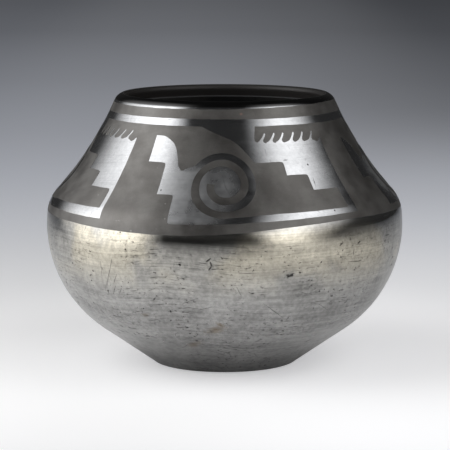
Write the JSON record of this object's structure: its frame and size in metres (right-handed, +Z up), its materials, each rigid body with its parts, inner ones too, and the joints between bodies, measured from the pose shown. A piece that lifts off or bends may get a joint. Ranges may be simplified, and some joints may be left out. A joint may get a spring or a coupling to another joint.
{
  "type": "pottery jar",
  "caption": "Round-bellied open jar with a hollow-curved neck, burnished dark outside, with a matte painted band of stepped terraces and spirals.",
  "frame": {"origin": "middle of the flat face that the jar stands on", "axes": "+Z up along the jar's axis; -Y is the side that the picture shows, with the front spiral on it"},
  "size_m": [0.21, 0.21, 0.1592],
  "materials": {
    "clay": "scraped, matt",
    "burnished_slip": "stone burnished, gunmetal sheen",
    "matte_paint": "matt slip paint"
  },
  "bodies": {
    "root": {"moulded_base": "clay", "lower_wall_coil_1": "clay", "lower_wall_coil_2": "clay", "belly_coil_1": "clay", "belly_coil_2": "clay", "shoulder_coil": "clay", "neck_coil_1": "clay", "neck_coil_2": "clay", "neck_coil_3": "clay", "rim_coil": "clay", "burnished_slip": "burnished_slip", "rim_line": "matte_paint", "shoulder_line": "matte_paint", "front_fringe": "matte_paint", "front_pillar": "matte_paint", "front_wave": "matte_paint", "right_fringe": "matte_paint", "right_pillar": "matte_paint", "right_wave": "matte_paint", "back_fringe": "matte_paint", "back_pillar": "matte_paint", "back_wave": "matte_paint", "left_fringe": "matte_paint", "left_pillar": "matte_paint", "left_wave": "matte_paint"}
  },
  "joints": []
}
